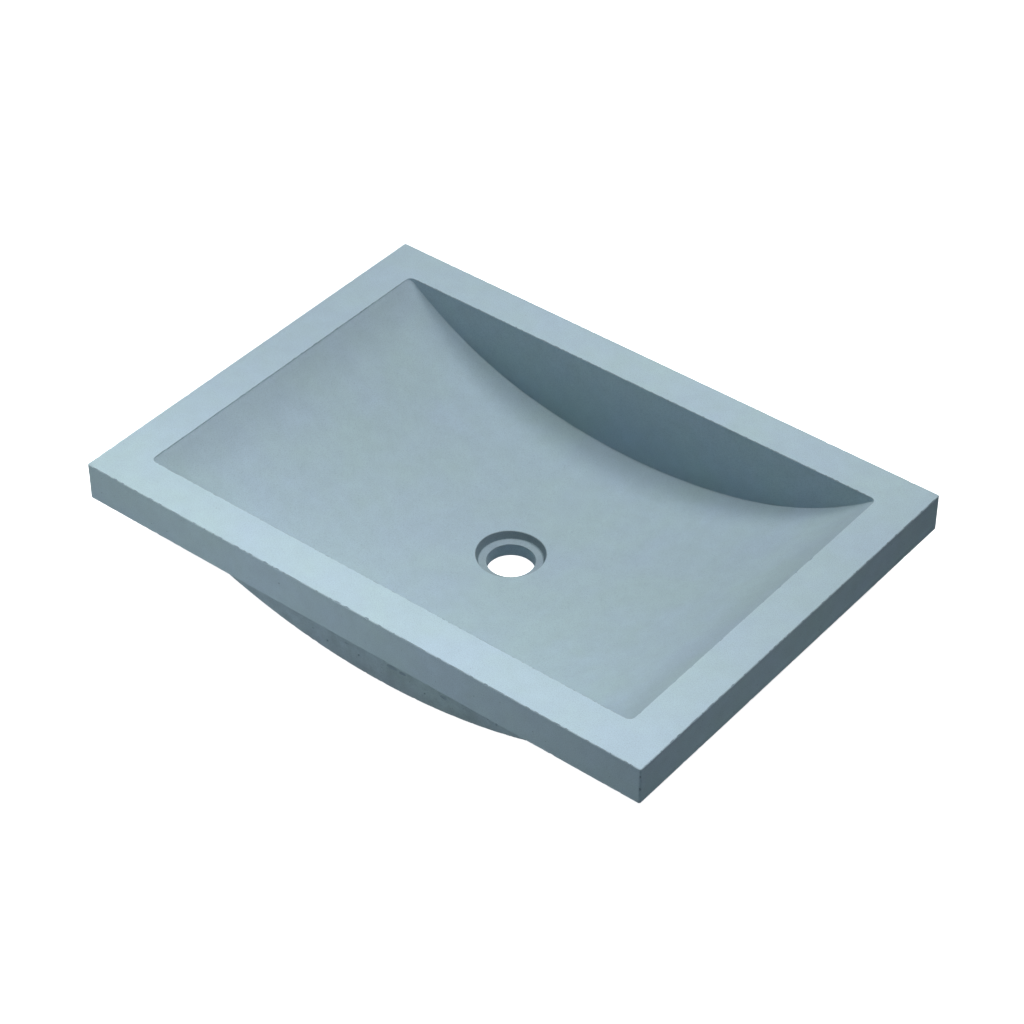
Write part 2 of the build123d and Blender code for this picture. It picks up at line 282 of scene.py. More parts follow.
class BasinFixings(bpy.types.PropertyGroup):
    """Colours and grain of the hangers and of the reinforcement"""

    zinc_dark: FloatVectorProperty(
        name="Darker zinc", description="Darker clouds in the zinc plating",
        subtype="COLOR", size=3, default=linear("9FA3A8"))
    zinc_light: FloatVectorProperty(
        name="Lighter zinc", description="Lighter clouds in the zinc plating",
        subtype="COLOR", size=3, default=linear("BABDC1"))
    zinc_cloud: FloatProperty(
        name="Zinc cloud", description="Width of a cloud in the zinc plating",
        default=2.5 * MM, unit="LENGTH")
    nylon_light: FloatVectorProperty(
        name="Lighter nylon", description="Lighter grains of the moulded texture",
        subtype="COLOR", size=3, default=linear("E6E3D8"))
    nylon_dark: FloatVectorProperty(
        name="Darker nylon", description="Darker grains of the moulded texture",
        subtype="COLOR", size=3, default=linear("DDD9CC"))
    nylon_grain: FloatProperty(
        name="Nylon grain", description="Width of a grain of the moulded texture",
        default=0.4 * MM, unit="LENGTH")
    nylon_relief: FloatProperty(
        name="Nylon relief", description="Height of the moulded texture",
        default=0.01 * MM, unit="LENGTH")
    brass_light: FloatVectorProperty(
        name="Lighter brass", description="Lighter rings of the tool marks",
        subtype="COLOR", size=3, default=linear("D3B46A"))
    brass_dark: FloatVectorProperty(
        name="Darker brass", description="Darker rings of the tool marks",
        subtype="COLOR", size=3, default=linear("C09F55"))
    tool_pitch: FloatProperty(
        name="Tool mark pitch", description="Distance from one tool mark to the next",
        default=0.628 * MM, unit="LENGTH")
    steel: FloatVectorProperty(
        name="Mill skin", description="Thin dark skin of the steel rod",
        subtype="COLOR", size=3, default=linear("6B6A69"))
    rust: FloatVectorProperty(
        name="Rust", description="Spots of flash rust on the steel rod",
        subtype="COLOR", size=3, default=linear("7A4E33"))
    rust_spot: FloatProperty(
        name="Rust spot", description="Width of a spot of rust",
        default=6.0 * MM, unit="LENGTH")


class BasinStudio(bpy.types.PropertyGroup):
    """Camera, floor and lamps"""

    azimuth: FloatProperty(
        name="Azimuth", description="Camera's turn to the right of the basin's front",
        default=math.radians(38.72), subtype="ANGLE")
    elevation: FloatProperty(
        name="Elevation", description="Camera's height above the horizon",
        default=math.radians(40.02), subtype="ANGLE")
    distance: FloatProperty(
        name="Distance", description="From the middle of the rim to the camera",
        default=2673.0 * MM, unit="LENGTH")
    lens: FloatProperty(
        name="Lens", description="Focal length in millimetres on a 36 mm sensor", default=107.25)
    aim_right: FloatProperty(
        name="Aim right", description="How far right of the rim's middle the camera stands",
        default=0.963 * MM, unit="LENGTH")
    aim_down: FloatProperty(
        name="Aim down", description="How far below the rim's middle the camera looks",
        default=28.473 * MM, unit="LENGTH")
    lamps: FloatProperty(
        name="Lamps", description="Brightness of all lamps together, 1 as in their table",
        default=1.0)
    room: FloatVectorProperty(
        name="Room colour", description="Colour of the even light from all round",
        subtype="COLOR", size=3, default=linear("D9F0FF"))
    ambient: FloatProperty(
        name="Room light", description="Strength of the even light from all round", default=0.0345)
    floor: FloatVectorProperty(
        name="Floor", description="Colour of the floor to the eye",
        subtype="COLOR", size=3, default=linear("F3F3F3"))
    bounce: FloatVectorProperty(
        name="Floor's bounce", description="Colour that the floor sends back to the basin",
        subtype="COLOR", size=3, default=linear("637A86"))
    glow: FloatProperty(
        name="Floor's glow", description="How white the floor is to the eye before lamps light it",
        default=0.97)


def add_node(tree, kind, inputs=(), **properties):
    """Add a node, set its properties, and set or link each (input, value or socket) pair."""
    node = tree.nodes.new(kind)
    for name, value in properties.items():
        setattr(node, name, value)
    for name, value in inputs:
        if isinstance(value, bpy.types.NodeSocket):
            tree.links.new(value, node.inputs[name])
        else:
            node.inputs[name].default_value = value
    return node


def new_material(name):
    """Make an empty material and return it with its node tree and its Object coordinates."""
    material = bpy.data.materials.new(name)
    material.use_nodes = True
    tree = material.node_tree
    tree.nodes.clear()
    coordinates = add_node(tree, "ShaderNodeTexCoord")
    return material, tree, coordinates.outputs["Object"]


def deselect_all():
    """Leave object mode clean: nothing selected and nothing being edited."""
    if bpy.context.object and bpy.context.object.mode != "OBJECT":
        bpy.ops.object.mode_set(mode="OBJECT")
    bpy.ops.object.select_all(action="DESELECT")


def make_active(*objects):
    """Select these objects alone, the first of them active."""
    deselect_all()
    for each in objects:
        each.select_set(True)
    bpy.context.view_layer.objects.active = objects[0]


def painted_wall_shade(tree, place, tone, reach):
    """Return a socket that is 1 in the trough's middle and the given tone along its walls, a
    painted shade near them.
    """
    axes = add_node(tree, "ShaderNodeSeparateXYZ", [(0, place)])
    gaps = []
    for axis, wall in enumerate(OPENING):
        away = add_node(tree, "ShaderNodeMath", [(0, axes.outputs[axis])], operation="ABSOLUTE")
        gap = add_node(
            tree, "ShaderNodeMath", [(0, wall), (1, away.outputs[0])], operation="SUBTRACT")
        gaps.append(gap.outputs[0])
    nearest = add_node(tree, "ShaderNodeMath", [(0, gaps[0]), (1, gaps[1])], operation="MINIMUM")
    fade = add_node(tree, "ShaderNodeMapRange", [
        ("Value", nearest.outputs[0]), ("From Min", 0.0), ("From Max", reach),
        ("To Min", tone), ("To Max", 1.0)], interpolation_type="SMOOTHSTEP")
    return fade.outputs["Result"]


def cast_concrete(concrete, name, lightness, uneven, tone):
    """Cast concrete, blue-grey, sealed matt: fine sand in a smooth paste, with faint clouds."""
    material, tree, place = new_material(name)
    clouds = add_node(tree, "ShaderNodeTexNoise", [
        ("Vector", place), ("Scale", 1 / concrete.cloud), ("Detail", 3.0), ("Roughness", 0.55)])
    cloud_mix = add_node(tree, "ShaderNodeMapRange", [
        ("Value", clouds.outputs[0]), ("From Min", 0.35), ("From Max", 0.65)])
    paste = add_node(tree, "ShaderNodeMix", [
        (0, cloud_mix.outputs["Result"]), (6, (*concrete.paste, 1)),
        (7, (*concrete.bloom, 1))], data_type="RGBA")
    mottle = add_node(tree, "ShaderNodeTexNoise", [
        ("Vector", place), ("Scale", 1 / concrete.mottle), ("Detail", 5.0), ("Roughness", 0.6)])
    shade = add_node(tree, "ShaderNodeMapRange", [
        ("Value", mottle.outputs[0]), ("From Min", 0.3), ("From Max", 0.7),
        ("To Min", (1 - uneven) * lightness), ("To Max", (1 + uneven) * lightness)])
    value = shade.outputs["Result"]
    # Darker along the trough's walls: a painted shade.
    if tone < 1:
        walls = painted_wall_shade(tree, place, tone, concrete.wall_reach)
        toned = add_node(tree, "ShaderNodeMath", [(0, value), (1, walls)], operation="MULTIPLY")
        value = toned.outputs[0]
    sand = add_node(tree, "ShaderNodeTexNoise", [
        ("Vector", place), ("Scale", 1 / concrete.grain), ("Detail", 2.0), ("Roughness", 0.6)])
    sand_mix = add_node(tree, "ShaderNodeMapRange", [
        ("Value", sand.outputs[0]), ("From Min", 0.45), ("From Max", 0.85)])
    colour = add_node(tree, "ShaderNodeMix", [
        (0, sand_mix.outputs["Result"]), (6, paste.outputs[2]),
        (7, (*concrete.sand, 1))], data_type="RGBA")
    shaded = add_node(tree, "ShaderNodeHueSaturation", [
        ("Value", value), ("Color", colour.outputs[2])])
    relief = add_node(tree, "ShaderNodeBump", [
        ("Strength", 1.0), ("Distance", concrete.relief), ("Height", sand.outputs[0])])
    gloss = add_node(tree, "ShaderNodeMapRange", [
        ("Value", clouds.outputs[0]), ("To Min", 0.62), ("To Max", 0.74)])
    shader = add_node(tree, "ShaderNodeBsdfPrincipled", [
        ("Base Color", shaded.outputs[0]), ("Roughness", gloss.outputs["Result"]),
        ("IOR", 1.5), ("Specular IOR Level", 0.2), ("Normal", relief.outputs["Normal"])])
    add_node(tree, "ShaderNodeOutputMaterial", [("Surface", shader.outputs["BSDF"])])
    return material


def broken_concrete(concrete):
    """The raw inside of the concrete in a knock or a blow hole: darker, unsealed and grainy."""
    material, tree, place = new_material("broken_concrete")
    sand = add_node(tree, "ShaderNodeTexNoise", [
        ("Vector", place), ("Scale", 1 / concrete.grain), ("Detail", 3.0), ("Roughness", 0.7)])
    colour = add_node(tree, "ShaderNodeMix", [
        (0, sand.outputs[0]), (6, (*concrete.broken, 1)), (7, (*concrete.sand, 1))],
        data_type="RGBA")
    relief = add_node(tree, "ShaderNodeBump", [
        ("Strength", 1.0), ("Distance", concrete.broken_relief), ("Height", sand.outputs[0])])
    shader = add_node(tree, "ShaderNodeBsdfPrincipled", [
        ("Base Color", colour.outputs[2]), ("Roughness", 0.85), ("IOR", 1.5),
        ("Normal", relief.outputs["Normal"])])
    add_node(tree, "ShaderNodeOutputMaterial", [("Surface", shader.outputs["BSDF"])])
    return material


def zinc_plated_steel(fixings):
    """Pressed mild steel, bright zinc plated: a cool grey metal with a soft cloudy gloss."""
    material, tree, place = new_material("zinc_plated_steel")
    clouds = add_node(tree, "ShaderNodeTexNoise", [
        ("Vector", place), ("Scale", 1 / fixings.zinc_cloud), ("Detail", 4.0)])
    colour = add_node(tree, "ShaderNodeMix", [
        (0, clouds.outputs[0]), (6, (*fixings.zinc_dark, 1)), (7, (*fixings.zinc_light, 1))],
        data_type="RGBA")
    gloss = add_node(tree, "ShaderNodeMapRange", [
        ("Value", clouds.outputs[0]), ("To Min", 0.28), ("To Max", 0.42)])
    shader = add_node(tree, "ShaderNodeBsdfPrincipled", [
        ("Base Color", colour.outputs[2]), ("Metallic", 1.0),
        ("Roughness", gloss.outputs["Result"])])
    add_node(tree, "ShaderNodeOutputMaterial", [("Surface", shader.outputs["BSDF"])])
    return material


def moulded_nylon(fixings):
    """Injection moulded natural nylon: waxy off-white with a very fine texture."""
    material, tree, place = new_material("moulded_nylon")
    texture = add_node(tree, "ShaderNodeTexNoise", [
        ("Vector", place), ("Scale", 1 / fixings.nylon_grain), ("Detail", 2.0)])
    colour = add_node(tree, "ShaderNodeMix", [
        (0, texture.outputs[0]), (6, (*fixings.nylon_light, 1)), (7, (*fixings.nylon_dark, 1))],
        data_type="RGBA")
    relief = add_node(tree, "ShaderNodeBump", [
        ("Strength", 1.0), ("Distance", fixings.nylon_relief), ("Height", texture.outputs[0])])
    shader = add_node(tree, "ShaderNodeBsdfPrincipled", [
        ("Base Color", colour.outputs[2]), ("Roughness", 0.45), ("IOR", 1.53),
        ("Normal", relief.outputs["Normal"])])
    add_node(tree, "ShaderNodeOutputMaterial", [("Surface", shader.outputs["BSDF"])])
    return material


def turned_brass(fixings):
    """Free-cutting brass as it left the lathe: warm yellow, with rings of tool marks up its length.

    The marks are drawn coarser than a lathe leaves them, so that they show.
    """
    material, tree, place = new_material("turned_brass")
    marks = add_node(tree, "ShaderNodeTexWave", [
        ("Vector", place), ("Scale", WAVE_LENGTH / fixings.tool_pitch), ("Distortion", 0.4)],
        bands_direction="Z")
    colour = add_node(tree, "ShaderNodeMix", [
        (0, marks.outputs[0]), (6, (*fixings.brass_light, 1)), (7, (*fixings.brass_dark, 1))],
        data_type="RGBA")
    shader = add_node(tree, "ShaderNodeBsdfPrincipled", [
        ("Base Color", colour.outputs[2]), ("Metallic", 1.0), ("Roughness", 0.3)])
    add_node(tree, "ShaderNodeOutputMaterial", [("Surface", shader.outputs["BSDF"])])
    return material


def drawn_steel_rod(fixings):
    """Plain drawn steel rod with a thin dark mill skin and spots of flash rust."""
    material, tree, place = new_material("drawn_steel_rod")
    rust = add_node(tree, "ShaderNodeTexNoise", [
        ("Vector", place), ("Scale", 1 / fixings.rust_spot), ("Detail", 5.0), ("Roughness", 0.65)])
    spots = add_node(tree, "ShaderNodeMapRange", [
        ("Value", rust.outputs[0]), ("From Min", 0.52), ("From Max", 0.66)])
    colour = add_node(tree, "ShaderNodeMix", [
        (0, spots.outputs["Result"]), (6, (*fixings.steel, 1)), (7, (*fixings.rust, 1))],
        data_type="RGBA")
    shader = add_node(tree, "ShaderNodeBsdfPrincipled", [
        ("Base Color", colour.outputs[2]), ("Metallic", 0.8), ("Roughness", 0.5)])
    add_node(tree, "ShaderNodeOutputMaterial", [("Surface", shader.outputs["BSDF"])])
    return material


def finish_nodes(nodes, material):
    """Give carried-over nodes a finish."""
    for name in nodes:
        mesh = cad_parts[name].data
        mesh.materials.clear()
        mesh.materials.append(material)


def merged_copy(node, name):
    """Copy a carried-over node's mesh to a new object and join its seams."""
    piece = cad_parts[node].copy()
    piece.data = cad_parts[node].data.copy()
    piece.name = name
    bpy.context.scene.collection.objects.link(piece)
    piece.data.materials.clear()
    make_active(piece)
    bpy.ops.mesh.customdata_custom_splitnormals_clear()
    bpy.ops.object.mode_set(mode="EDIT")
    bpy.ops.mesh.select_all(action="SELECT")
    bpy.ops.mesh.remove_doubles(threshold=SEAM)
    bpy.ops.object.mode_set(mode="OBJECT")
    return piece


def split_skin(piece):
    """Take a casting apart into its outer skin and the closed rooms of what is cast into it."""
    make_active(piece)
    bpy.ops.object.mode_set(mode="EDIT")
    bpy.ops.mesh.select_all(action="SELECT")
    bpy.ops.mesh.separate(type="LOOSE")
    bpy.ops.object.mode_set(mode="OBJECT")
    shells = sorted(bpy.context.selected_objects, key=lambda shell: shell.dimensions.x)
    return shells[-1], shells[:-1]


def add_stones(count, roughness, seed):
    """Model a few rough stones of radius 1 m, the masters of the knocks and blow holes."""
    stones = []
    for number in range(count):
        deselect_all()
        bpy.ops.mesh.primitive_ico_sphere_add(subdivisions=2, radius=1.0)
        stone = bpy.context.object
        bpy.ops.object.mode_set(mode="EDIT")
        bpy.ops.mesh.select_all(action="SELECT")
        bpy.ops.transform.vertex_random(
            offset=roughness, uniform=1.0, normal=0.5, seed=seed + number)
        bpy.ops.object.mode_set(mode="OBJECT")
        stones.append(stone)
    return stones


def place_stone(stone, middle, along, outward, sizes, roll):
    """Copy a stone to a middle, turned to an edge and stretched to its half sizes."""
    copy = stone.copy()
    copy.data = stone.data.copy()
    copy.data.transform(Matrix.Rotation(roll, 4, Vector((1, 1, 1)).normalized()))
    bpy.context.scene.collection.objects.link(copy)
    turned = Matrix((along, outward.cross(along), outward)).transposed().to_4x4()
    copy.matrix_world = Matrix.Translation(middle) @ turned @ Matrix.Diagonal((*sizes, 1.0))
    return copy


def rim_low(shape):
    """Return the height of the rim's underside."""
    return CASTING_HIGH.z - shape.rim_thickness


def shell_face(shape):
    """Return how far the long outer walls of the shell stand from the middle plane."""
    return OPENING.y + shape.shell_wall


def shell_radius(shape):
    """Return the radius of the shell's underside, an arc from rim to rim."""
    rise = rim_low(shape) - shape.shell_low
    return (shape.shell_reach ** 2 + rise ** 2) / (2 * rise)


def shell_height(shape, x):
    """Return the height of the shell's underside at a distance along the basin."""
    radius = shell_radius(shape)
    return shape.shell_low + radius - math.sqrt(radius ** 2 - x ** 2)


class BASIN_OT_casting(bpy.types.Operator):
    """Knock the edges of the concrete casting and leave blow holes in its faces"""

    bl_idname = "basin.casting"
    bl_label = "Concrete casting"

    def execute(self, context):
        """Cut small rough stones out of a copy of the casting, along its edges and in its faces."""
        scene = context.scene
        casting = merged_copy("basin_casting", "concrete_casting")
        self.dress(casting, scene.basin_shape, scene.basin_concrete)
        skin, rooms = split_skin(casting)
        broken = broken_concrete(scene.basin_concrete)
        self.cut(skin, self.lay_stones(scene.basin_shape, scene.basin_knocks), broken)
        self.sharpen_breaks(skin, broken)

        make_active(skin, *rooms)
        bpy.ops.object.join()
        skin.name = "concrete_casting"
        bpy.ops.object.shade_smooth_by_angle(angle=SMOOTH_ANGLE, keep_sharp_edges=True)
        even = skin.modifiers.new("even_faces", "WEIGHTED_NORMAL")
        even.keep_sharp = True
        bpy.ops.object.modifier_apply(modifier="even_faces")

        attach(skin, "basin")
        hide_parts("basin_casting")
        return {"FINISHED"}

    def dress(self, casting, shape, concrete):
        """Give each area of the casting its finish."""
        for name, (lightness, uneven, tone) in FINISHES_AND_PAINTED_LIGHT.items():
            casting.data.materials.append(cast_concrete(concrete, name, lightness, uneven, tone))
        names = list(FINISHES_AND_PAINTED_LIGHT)
        for face in casting.data.polygons:
            face.material_index = names.index(self.finish(shape, face))

    def finish(self, shape, face):
        """Name the finish of the area that a face of the casting belongs to."""
        middle = face.center
        from_drain = math.hypot(middle.x, middle.y)
        # The rim's top gets the palest finish, a painted light.
        if middle.z > CASTING_HIGH.z - NEAR:
            return "rim_top_painted_light"
        over_trough = (abs(middle.x) < OPENING.x + shape.opening_edge
                       and abs(middle.y) < OPENING.y + shape.opening_edge)
        if over_trough and face.normal.z > FLOOR_SLOPE:
            if from_drain > shape.recess_reach:
                return "smooth_concrete"
            # The drain recess is darker, a painted shade, deepest on its wall.
            return "recess_ledge_painted_shade" if face.normal.z > LEDGE_SLOPE else "recess_wall_painted_shade"
        if from_drain < shape.bore_reach:
            return "smooth_concrete"
        if middle.z < rim_low(shape) + NEAR:
            return "rough_concrete"
        return "side_concrete"

    def lay_stones(self, shape, knocks):
        """Lay a rough stone for each knock, blow hole and dent, and join them to one cutter."""
        chance = random.Random(knocks.seed)
        stones = add_stones(STONE_KINDS, STONE_ROUGHNESS, knocks.seed)
        laid = []
        for edge in self.edges(shape):
            laid += self.knock_edge(chance, stones, knocks, *edge)
        for middle, outward, radius, depth in self.holes(chance, shape):
            side = outward.orthogonal().normalized()
            wide = radius / POCKET_MOUTH_SHARE
            narrow = wide * chance.uniform(*HOLE_ROUNDNESS)
            laid.append(self.sink_stone(chance, stones, middle, side, outward, wide, narrow, depth))
        for x, z, half, depth in DENTS:
            middle = Vector((x * MM, -shell_face(shape), z * MM))
            laid.append(self.sink_stone(
                chance, stones, middle, Vector((1, 0, 0)), Vector((0, -1, 0)),
                half * MM, DENT_WIDTH_SHARE * half * MM, depth * MM))

        make_active(*stones)
        bpy.ops.object.delete()
        make_active(*laid)
        bpy.ops.object.join()
        return bpy.context.object

    def sink_stone(self, chance, stones, middle, side, outward, wide, narrow, depth):
        """Sink a stone into a face, as deep as a blow hole or a dent."""
        height = POCKET_STONE_HEIGHT * depth
        return place_stone(
            chance.choice(stones), middle + outward * (height - depth), side, outward,
            (wide, narrow, height), chance.uniform(0, STONE_ROLL))

    def edges(self, shape):
        """List the edges as start, end, outward direction, rounding and share of the wear."""
        high = CASTING_HIGH
        low = rim_low(shape)
        inner_x, inner_y = OPENING
        found = []
        for sign in (-1, 1):
            x, y = high.x - RIM_END, high.y - RIM_END
            for z, up in ((high.z, 1), (low, -1)):
                found.append((
                    Vector((-x, sign * high.y, z)), Vector((x, sign * high.y, z)),
                    Vector((0, sign, up)).normalized(), shape.rim_edge, 1.0))
                found.append((
                    Vector((sign * high.x, -y, z)), Vector((sign * high.x, y, z)),
                    Vector((sign, 0, up)).normalized(), shape.rim_edge, 1.0))
            x, y = inner_x - OPENING_END, inner_y - OPENING_END
            found.append((
                Vector((-x, sign * inner_y, high.z)), Vector((x, sign * inner_y, high.z)),
                Vector((0, -LONG_OPENING_LEAN * sign, 1)).normalized(),
                shape.opening_edge, LONG_OPENING_WEAR))
            found.append((
                Vector((sign * inner_x, -y, high.z)), Vector((sign * inner_x, y, high.z)),
                Vector((-sign, 0, 1)).normalized(), shape.opening_edge, SHORT_OPENING_WEAR))
            for side in (-1, 1):
                corner = Vector((sign * high.x, side * high.y, 0))
                found.append((
                    corner + Vector((0, 0, low + UPRIGHT_END)),
                    corner + Vector((0, 0, high.z - UPRIGHT_END)),
                    Vector((sign, side, 0)).normalized(), shape.rim_corner, UPRIGHT_WEAR))
            found += self.shell_edge(shape, sign)
        return found

    def shell_edge(self, shape, sign):
        """List short chords of one of the shell's long lower edges, an arc from rim to rim."""
        radius = shell_radius(shape)
        y = sign * shell_face(shape)
        last = math.asin(SHELL_EDGE_SHARE * shape.shell_reach / radius)
        points = []
        for step in range(-SHELL_EDGE_CHORDS, SHELL_EDGE_CHORDS + 1):
            turn = last * step / SHELL_EDGE_CHORDS
            height = shape.shell_low + radius * (1 - math.cos(turn))
            points.append(Vector((radius * math.sin(turn), y, height)))
        found = []
        for start, end in zip(points, points[1:]):
            down = Vector((0, 1, 0)).cross((end - start).normalized())
            outward = (down + Vector((0, sign, 0))).normalized()
            found.append((start, end, outward, shape.shell_edge, 1.0))
        return found

    def knock_edge(self, chance, stones, knocks, start, end, outward, rounding, wear):
        """Lay stones along one straight edge, each sunk in by the depth of its knock."""
        along = (end - start).normalized()
        length = (end - start).length
        # How far the rounding lies below the sharp edge, along the outward direction.
        surface = rounding * (math.sqrt(2) - 1)
        laid = []
        reach = knocks.spacing * chance.uniform(*KNOCK["first"]) / wear
        while reach < length - KNOCK_END_SHARE * knocks.spacing:
            if chance.random() < SCRAPE_CHANCE:
                half = chance.uniform(*SCRAPE["half_length"]) * MM
                depth = chance.uniform(*SCRAPE["depth"]) * MM
            else:
                half = 0.5 * knocks.length * chance.uniform(*KNOCK["length"])
                share = chance.uniform(*KNOCK["depth"]) * (0.5 + half / knocks.length)
                depth = knocks.depth * min(DEEPEST_KNOCK, share)
            height = depth * chance.uniform(*KNOCK["stone_height"])
            width = chance.uniform(*KNOCK["stone_width"]) * (surface + depth) + LEAST_STONE_WIDTH
            middle = start + along * reach + outward * (height - depth - surface)
            half = min(half, reach, length - reach)
            laid.append(place_stone(
                chance.choice(stones), middle, along, outward,
                (half / KNOCK_MOUTH_SHARE, width, height), chance.uniform(0, STONE_ROLL)))
            reach += half + knocks.spacing * chance.uniform(*KNOCK["next"]) / wear
        return laid

    def holes(self, chance, shape):
        """List blow holes as middle, outward direction, radius and depth."""
        high = CASTING_HIGH
        low = rim_low(shape)
        below, above = SHELL_HOLE_MARGINS
        found = []
        for sign in (-1, 1):
            for _ in range(RIM_HOLES["count"]):
                z = chance.uniform(low + RIM_HOLE_MARGIN, high.z - RIM_HOLE_MARGIN)
                x = chance.uniform(-RIM_HOLE_SHARE, RIM_HOLE_SHARE) * high.x
                y = chance.uniform(-RIM_HOLE_SHARE, RIM_HOLE_SHARE) * high.y
                radius = chance.triangular(*RIM_HOLES["radii"]) * MM
                found.append((
                    Vector((x, sign * high.y, z)), Vector((0, sign, 0)),
                    radius, RIM_HOLES["depth"] * radius))
                found.append((
                    Vector((sign * high.x, y, z)), Vector((sign, 0, 0)),
                    radius, RIM_HOLES["end_depth"] * radius))
            for _ in range(SHELL_HOLES["count"]):
                x = chance.uniform(-SHELL_HOLE_SHARE, SHELL_HOLE_SHARE) * shape.shell_reach
                z = chance.uniform(shell_height(shape, x) + below, low - above)
                radius = chance.triangular(*SHELL_HOLES["radii"]) * MM
                found.append((
                    Vector((x, sign * shell_face(shape), z)), Vector((0, sign, 0)),
                    radius, SHELL_HOLES["depth"] * radius))
        for _ in range(TOP_HOLES["count"]):
            x = chance.uniform(-TOP_HOLE_SHARE, TOP_HOLE_SHARE) * high.x
            side = chance.choice((-1, 1))
            y = side * (high.y - chance.uniform(*TOP_HOLE_BAND_SHARES) * RIM_BAND)
            radius = chance.uniform(*TOP_HOLES["radii"]) * MM
            found.append((
                Vector((x, y, high.z)), Vector((0, 0, 1)), radius, TOP_HOLES["depth"] * radius))
        return found

    def cut(self, skin, stones, broken):
        """Cut the stones out of the skin, and leave raw concrete where they were."""
        stones.data.materials.clear()
        stones.data.materials.append(broken)
        make_active(skin)
        knock = skin.modifiers.new("knocks", "BOOLEAN")
        knock.operation = "DIFFERENCE"
        knock.solver = "EXACT"
        # The stones overlap one another here and there.
        knock.use_self = True
        knock.material_mode = "TRANSFER"
        knock.object = stones
        bpy.ops.object.modifier_apply(modifier="knocks")
        make_active(stones)
        bpy.ops.object.delete()

    def sharpen_breaks(self, skin, broken):
        """Keep a crisp line where a break meets the cast face."""
        make_active(skin)
        bpy.ops.object.mode_set(mode="EDIT")
        bpy.ops.mesh.select_mode(type="FACE")
        bpy.ops.mesh.select_all(action="DESELECT")
        skin.active_material_index = skin.data.materials.find(broken.name)
        bpy.ops.object.material_slot_select()
        bpy.ops.mesh.region_to_loop()
        bpy.ops.mesh.mark_sharp()
        bpy.ops.mesh.select_mode(type="FACE")
        bpy.ops.object.mode_set(mode="OBJECT")


class BASIN_OT_hangers(bpy.types.Operator):
    """Dress the straps, bolts, washers and bushes of the eight hangers"""

    bl_idname = "basin.hangers"
    bl_label = "Hangers"

    def execute(self, context):
        """Give each piece of the hangers its finish."""
        fixings = context.scene.basin_fixings
        plated = [f"{kind}_{place}" for kind in ("strap", "bolt", "washer") for place in PLACES]
        finish_nodes(plated, zinc_plated_steel(fixings))
        finish_nodes([f"bush_{place}" for place in PLACES], moulded_nylon(fixings))
        finish_nodes([f"insert_{place}" for place in PLACES], turned_brass(fixings))
        return {"FINISHED"}


class BASIN_OT_reinforcement(bpy.types.Operator):
    """Dress the steel that is cast into the rim and the trough"""

    bl_idname = "basin.reinforcement"
    bl_label = "Reinforcement"

    def execute(self, context):
        """Give the ring and the mat their steel."""
        rod = drawn_steel_rod(context.scene.basin_fixings)
        finish_nodes(["rim_reinforcing_ring", "trough_wire_mat"], rod)
        return {"FINISHED"}


def add_area_lamp(name, place, aim, size, spread, power):
    """Hang an oblong soft lamp that faces the aim point."""
    deselect_all()
    bpy.ops.object.light_add(type="AREA", location=place)
    lamp = bpy.context.object
    lamp.name = name
    lamp.data.shape = "RECTANGLE"
    lamp.data.size, lamp.data.size_y = size
    lamp.data.spread = math.radians(spread)
    lamp.data.energy = power
    lamp.rotation_euler = (aim - place).to_track_quat("-Z", "Y").to_euler()


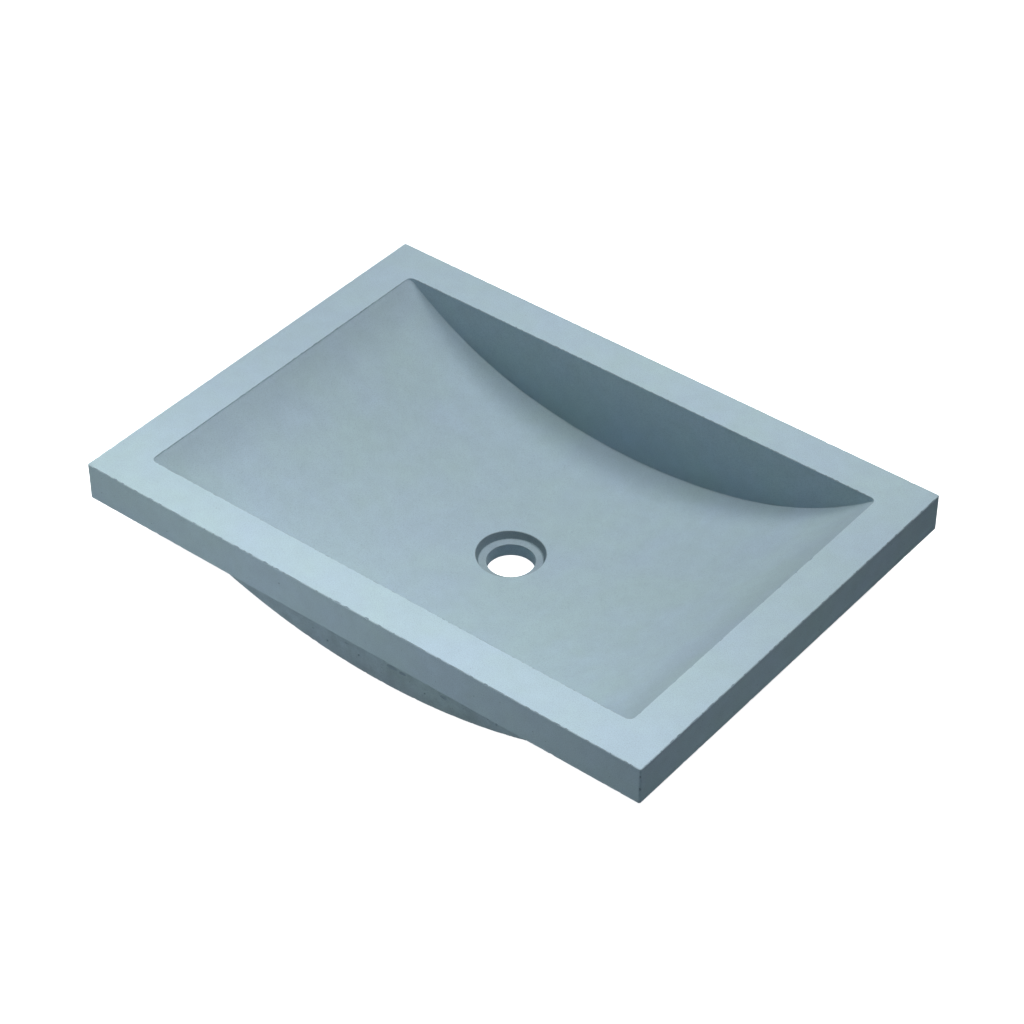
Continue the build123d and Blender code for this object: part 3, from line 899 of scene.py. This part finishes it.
class BASIN_OT_studio(bpy.types.Operator):
    """Set the floor, the lamps and the camera round the basin"""

    bl_idname = "basin.studio"
    bl_label = "Studio"

    def execute(self, context):
        """Build the floor, the world, the lamps and the camera."""
        studio = context.scene.basin_studio
        rim_middle = Vector((0, 0, CASTING_HIGH.z))
        self.lay_floor(studio)
        self.set_world(studio)
        for name, lamp in LAMPS.items():
            place = rim_middle + Vector(lamp["place"])
            aim = rim_middle + Vector(lamp["aim"])
            power = lamp["power"] * studio.lamps
            add_area_lamp(name, place, aim, lamp["size"], lamp["spread"], power)
        context.scene.camera = self.place_camera(studio, rim_middle)
        context.scene.view_settings.view_transform = "Standard"
        return {"FINISHED"}

    def lay_floor(self, studio):
        """Lay the floor on which the basin would stand."""
        deselect_all()
        bpy.ops.mesh.primitive_plane_add(
            size=FLOOR_SIZE, location=(0, 0, CAD_BOX[0][2] - FLOOR_DROP))
        floor = bpy.context.object
        floor.name = "studio_floor"
        floor.data.materials.append(self.floor_paint(studio))

    def place_camera(self, studio, rim_middle):
        """Stand the camera at its azimuth, elevation and distance from the middle of the rim."""
        back = Vector((
            math.sin(studio.azimuth) * math.cos(studio.elevation),
            -math.cos(studio.azimuth) * math.cos(studio.elevation),
            math.sin(studio.elevation)))
        right = Vector((math.cos(studio.azimuth), math.sin(studio.azimuth), 0))
        up = back.cross(right)
        aim = rim_middle + studio.aim_right * right - studio.aim_down * up
        place = aim + studio.distance * back
        deselect_all()
        bpy.ops.object.camera_add(location=place)
        camera = bpy.context.object
        camera.name = "studio_camera"
        turned = Matrix((right, up, back)).transposed().to_4x4()
        camera.matrix_world = Matrix.Translation(place) @ turned
        camera.data.lens = studio.lens
        camera.data.sensor_width = SENSOR_WIDTH
        return camera

    def floor_paint(self, studio):
        """Matt white floor paint: white to the eye, darker to the light that it sends back."""
        material, tree, _ = new_material("floor_paint")
        seen = self.seen(tree)
        sweep = add_node(tree, "ShaderNodeBsdfDiffuse", [("Color", (*studio.floor, 1))])
        lift = add_node(
            tree, "ShaderNodeEmission", [("Color", (1, 1, 1, 1)), ("Strength", studio.glow)])
        bright = add_node(
            tree, "ShaderNodeAddShader", [(0, sweep.outputs[0]), (1, lift.outputs[0])])
        dim = add_node(tree, "ShaderNodeBsdfDiffuse", [("Color", (*studio.bounce, 1))])
        mixed = add_node(tree, "ShaderNodeMixShader", [
            (0, seen), (1, dim.outputs[0]), (2, bright.outputs[0])])
        add_node(tree, "ShaderNodeOutputMaterial", [("Surface", mixed.outputs[0])])
        return material

    def seen(self, tree):
        """Return a socket that is 1 for rays from the camera, in mirrors and through glass."""
        rays = add_node(tree, "ShaderNodeLightPath")
        first = add_node(tree, "ShaderNodeMath", [
            (0, rays.outputs["Is Camera Ray"]), (1, rays.outputs["Is Glossy Ray"])],
            operation="MAXIMUM")
        both = add_node(tree, "ShaderNodeMath", [
            (0, first.outputs[0]), (1, rays.outputs["Is Transmission Ray"])], operation="MAXIMUM")
        return both.outputs[0]

    def set_world(self, studio):
        """White backdrop to the eye, and an even dim light on the basin."""
        world = bpy.context.scene.world or bpy.data.worlds.new("studio_world")
        bpy.context.scene.world = world
        world.use_nodes = True
        tree = world.node_tree
        tree.nodes.clear()
        room = add_node(tree, "ShaderNodeBackground", [
            ("Color", (*studio.room, 1)), ("Strength", studio.ambient)])
        white = add_node(tree, "ShaderNodeBackground", [("Color", (1, 1, 1, 1)), ("Strength", 1.0)])
        mixed = add_node(tree, "ShaderNodeMixShader", [
            (0, self.seen(tree)), (1, room.outputs[0]), (2, white.outputs[0])])
        add_node(tree, "ShaderNodeOutputWorld", [("Surface", mixed.outputs[0])])


class BASIN_PT_panel(bpy.types.Panel):
    """Lists the settings and the steps of the basin"""

    bl_idname = "BASIN_PT_panel"
    bl_label = "Concrete basin"
    bl_space_type = "VIEW_3D"
    bl_region_type = "UI"
    bl_category = "Basin"

    def draw(self, context):
        """Draw a button for each step and the settings below them."""
        for step in STEPS:
            self.layout.operator(step)
        for holder in SETTINGS:
            group = getattr(context.scene, holder)
            box = self.layout.box()
            box.label(text=holder.replace("_", " ").capitalize())
            for name in group.__annotations__:
                box.prop(group, name)


STEPS = ("basin.casting", "basin.hangers", "basin.reinforcement", "basin.studio")
SETTINGS = {
    "basin_shape": BasinShape,
    "basin_knocks": BasinKnocks,
    "basin_concrete": BasinConcrete,
    "basin_fixings": BasinFixings,
    "basin_studio": BasinStudio,
}
CLASSES = (
    *SETTINGS.values(),
    BASIN_OT_casting, BASIN_OT_hangers, BASIN_OT_reinforcement, BASIN_OT_studio,
    BASIN_PT_panel,
)


def register():
    """Register the classes and hang the settings on the scene."""
    for each in CLASSES:
        bpy.utils.register_class(each)
    for holder, group in SETTINGS.items():
        setattr(bpy.types.Scene, holder, PointerProperty(type=group))


def unregister():
    """Take the settings off the scene and unregister the classes."""
    for holder in SETTINGS:
        delattr(bpy.types.Scene, holder)
    for each in reversed(CLASSES):
        bpy.utils.unregister_class(each)


def main():
    register()
    for step in STEPS:
        group, name = step.split(".")
        getattr(getattr(bpy.ops, group), name)()


if __name__ == "__main__":
    main()
